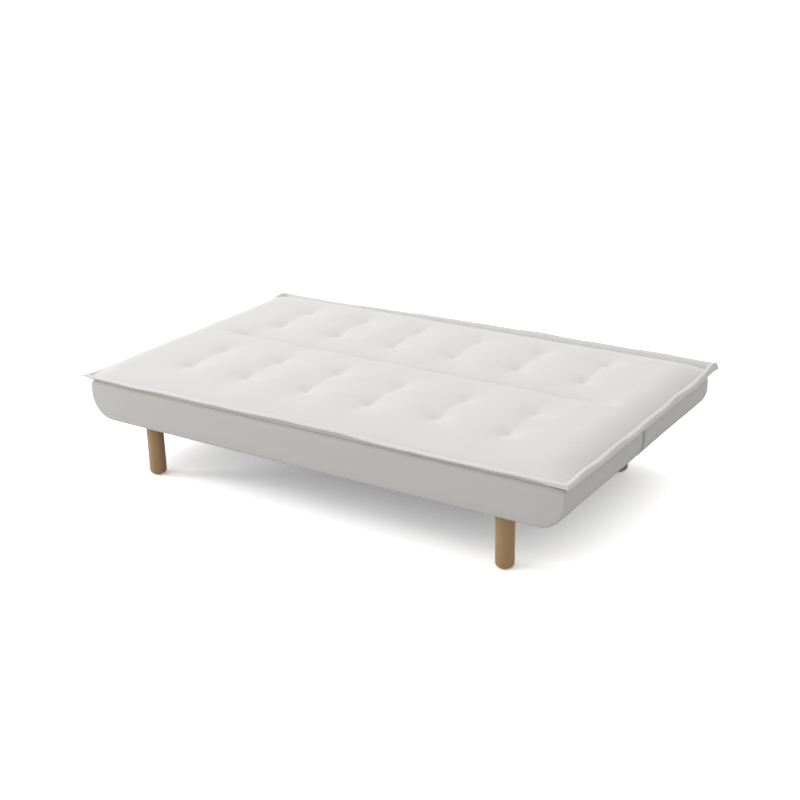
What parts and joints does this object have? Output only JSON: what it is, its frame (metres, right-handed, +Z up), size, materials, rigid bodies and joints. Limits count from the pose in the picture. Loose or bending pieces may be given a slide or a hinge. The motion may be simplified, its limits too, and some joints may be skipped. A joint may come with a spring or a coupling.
{
  "type": "click clack sofa bed",
  "caption": "Sofa bed laid flat: tufted mattress folded across its middle, on two fabric boxes that tilt on ratchet hinges over a low steel frame with round wooden legs.",
  "frame": {"origin": "on the floor, under the middle of the bed laid flat", "axes": "+X along the bed's length to the right seen from the seat's front, +Y from the seat to the back, +Z up"},
  "size_m": [1.9, 1.17, 0.388],
  "materials": {
    "mattress_fabric": "off-white woven upholstery cloth, matt, soft weave",
    "box_fabric": "light warm grey woven upholstery cloth, matt",
    "leg_wood": "turned hardwood, light tan, satin lacquer, grain along the leg",
    "raw_timber": "plain sawn softwood",
    "webbing": "woven elastic webbing",
    "foam": "cut polyurethane foam",
    "dust_cloth": "thin black non-woven cloth",
    "black_steel": "black powder coat",
    "zinc_steel": "bright zinc plate",
    "nylon": "dark moulded nylon",
    "rubber": "black moulded rubber"
  },
  "bodies": {
    "underframe": {"front_rail": "black_steel", "rear_rail": "black_steel", "side_rail_right": "black_steel", "side_rail_left": "black_steel", "leg_front_right": "leg_wood", "leg_front_left": "leg_wood", "leg_rear_right": "leg_wood", "leg_rear_left": "leg_wood", "leg_plate_front_right": "black_steel", "leg_plate_front_left": "black_steel", "leg_plate_rear_right": "black_steel", "leg_plate_rear_left": "black_steel", "leg_bolt_front_right": "zinc_steel", "leg_bolt_front_left": "zinc_steel", "leg_bolt_rear_right": "zinc_steel", "leg_bolt_rear_left": "zinc_steel", "leg_glide_front_right": "nylon", "leg_glide_front_left": "nylon", "leg_glide_rear_right": "nylon", "leg_glide_rear_left": "nylon", "rest_buffer_front_right": "rubber", "rest_buffer_front_left": "rubber", "rest_buffer_rear_right": "rubber", "rest_buffer_rear_left": "rubber", "hinge_bracket_right": "black_steel", "hinge_bracket_left": "black_steel", "pivot_pin_right": "zinc_steel", "pivot_pin_left": "zinc_steel", "pivot_nut_right": "zinc_steel", "pivot_nut_left": "zinc_steel"},
    "seat": {"seat_inner_board": "raw_timber", "seat_outer_board": "raw_timber", "seat_middle_rail": "raw_timber", "seat_end_rail_right": "raw_timber", "seat_end_rail_left": "raw_timber", "seat_webbing": "webbing", "seat_foam": "foam", "seat_cover": "box_fabric", "seat_dust_cover": "dust_cloth", "seat_pad": "mattress_fabric", "seat_arm_right": "black_steel", "seat_arm_left": "black_steel", "pawl_pin_right": "zinc_steel", "pawl_pin_left": "zinc_steel", "pawl_spring_right": "zinc_steel", "pawl_spring_left": "zinc_steel"},
    "back": {"back_inner_board": "raw_timber", "back_outer_board": "raw_timber", "back_middle_rail": "raw_timber", "back_end_rail_right": "raw_timber", "back_end_rail_left": "raw_timber", "back_webbing": "webbing", "back_foam": "foam", "back_cover": "box_fabric", "back_dust_cover": "dust_cloth", "back_pad": "mattress_fabric", "back_arm_right": "black_steel", "back_arm_left": "black_steel"},
    "pawl_right": {"pawl_right": "zinc_steel"},
    "pawl_left": {"pawl_left": "zinc_steel"}
  },
  "joints": [
    {"name": "back_recline", "type": "hinge", "parent": "underframe", "child": "back", "pos_m": [0, 0, 0.342], "axis": [1, 0, 0], "range_deg": [0, 72]},
    {"name": "seat_lift", "type": "hinge", "parent": "underframe", "child": "seat", "pos_m": [0, 0, 0.342], "axis": [-1, 0, 0], "range_deg": [0, 24]},
    {"name": "pawl_right_lift", "type": "hinge", "parent": "seat", "child": "pawl_right", "pos_m": [0.7684, -0.012, 0.283], "axis": [-1, 0, 0], "range_deg": [0, 12], "stiffness_Nm_per_rad": 0.5, "springref_deg": -11.46},
    {"name": "pawl_left_lift", "type": "hinge", "parent": "seat", "child": "pawl_left", "pos_m": [-0.7684, -0.012, 0.283], "axis": [-1, 0, 0], "range_deg": [0, 12], "stiffness_Nm_per_rad": 0.5, "springref_deg": -11.46}
  ]
}
